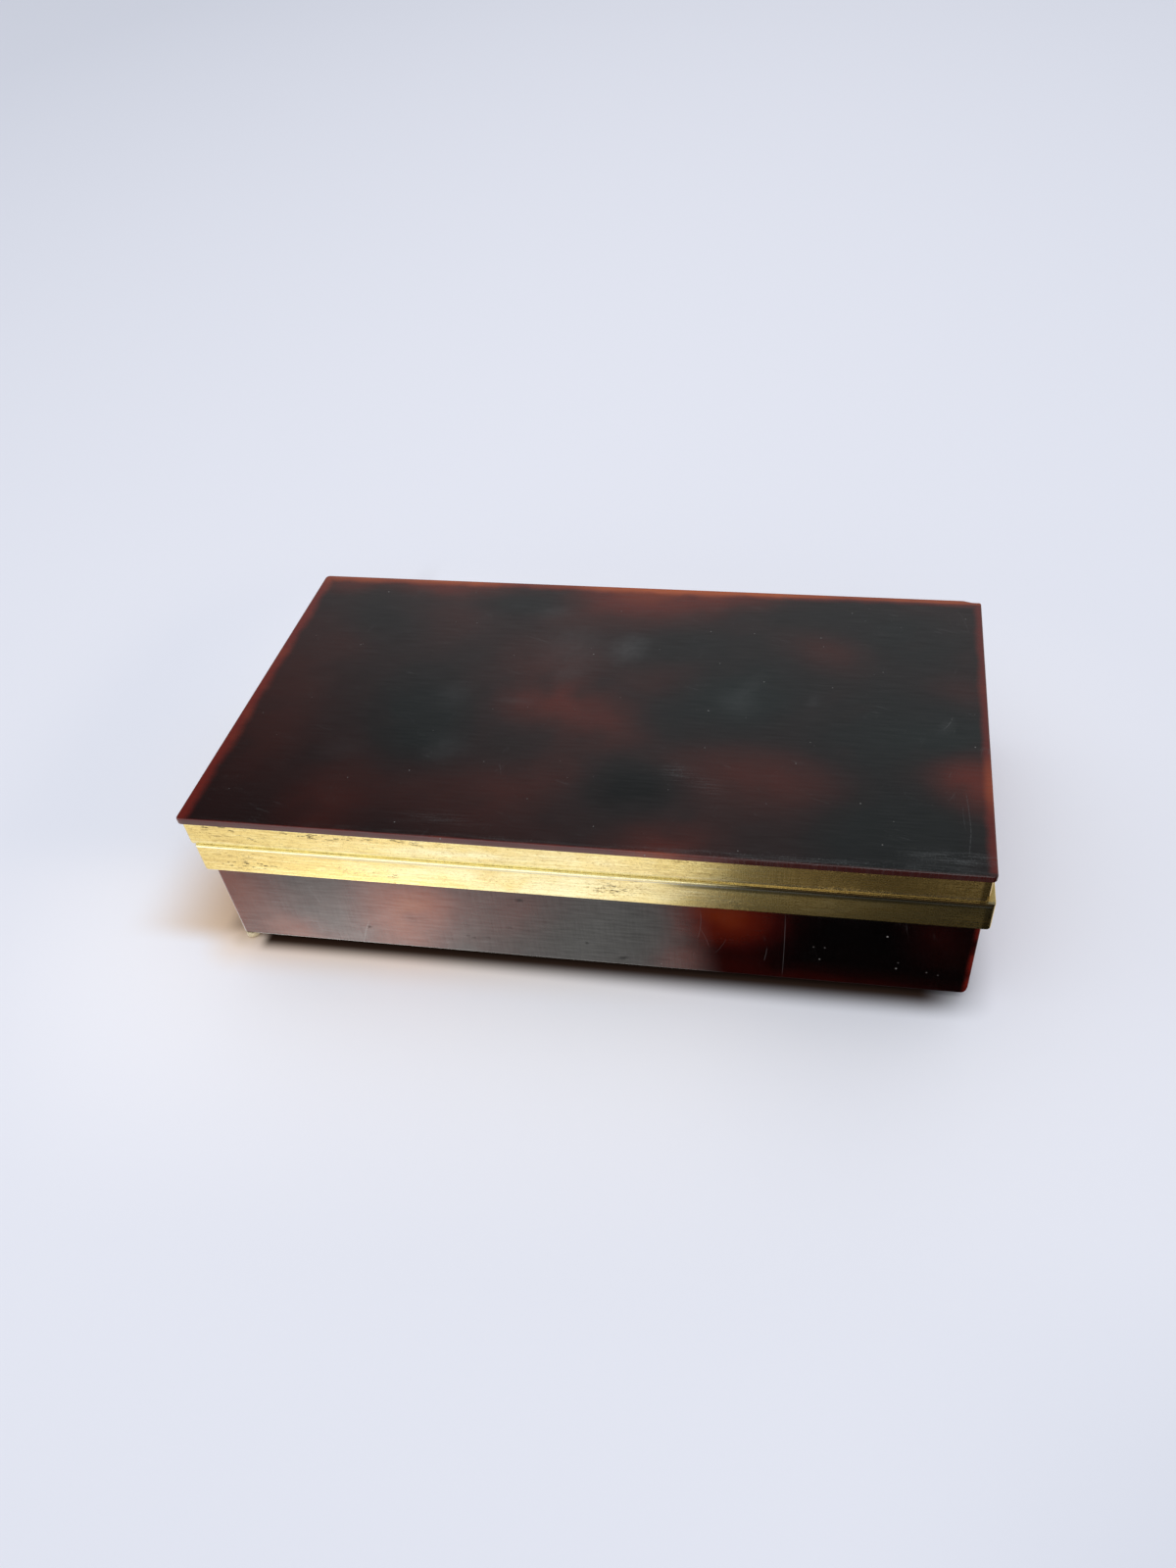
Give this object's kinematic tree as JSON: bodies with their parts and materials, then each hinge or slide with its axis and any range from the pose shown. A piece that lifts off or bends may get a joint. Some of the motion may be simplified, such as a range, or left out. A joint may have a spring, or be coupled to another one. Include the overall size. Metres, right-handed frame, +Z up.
{
  "type": "hinged vanity box",
  "caption": "Low rectangular hinged box in tortoiseshell acrylic, edged with mitred brass frames, on bumper feet.",
  "frame": {"origin": "on the surface that the feet stand on, under the middle of the closed box", "axes": "+X to the right along the front, +Y to the back where the hinge is, +Z up"},
  "size_m": [0.2038, 0.1142, 0.0466],
  "materials": {
    "lid_acrylic": "rubbed gloss, tortoiseshell",
    "body_acrylic": "gloss, tortoiseshell",
    "lid_brass": "brushed, pitted with age",
    "body_brass": "brushed, pitted with age",
    "hinge_brass": "drawn, unpolished",
    "hinge_wire": "drawn wire",
    "bumper": "yellowed clear rubber"
  },
  "bodies": {
    "body": {"body_frame_back": "body_brass", "body_frame_front": "body_brass", "body_frame_left": "body_brass", "body_frame_right": "body_brass", "floor_panel": "body_acrylic", "foot_back_left": "bumper", "foot_back_right": "bumper", "foot_front_left": "bumper", "foot_front_right": "bumper", "hinge_leaf_body": "hinge_brass", "hinge_pin": "hinge_wire", "wall_back": "body_acrylic", "wall_front": "body_acrylic", "wall_left": "body_acrylic", "wall_right": "body_acrylic"},
    "lid": {"hinge_leaf_lid": "hinge_brass", "lid_frame_back": "lid_brass", "lid_frame_front": "lid_brass", "lid_frame_left": "lid_brass", "lid_frame_right": "lid_brass", "lid_plate": "lid_acrylic"}
  },
  "joints": [
    {"name": "lid_hinge", "type": "hinge", "parent": "body", "child": "lid", "pos_m": [0.0011, 0.0537, 0.0375], "axis": [-1, 0, 0], "range_deg": [0, 100]}
  ]
}
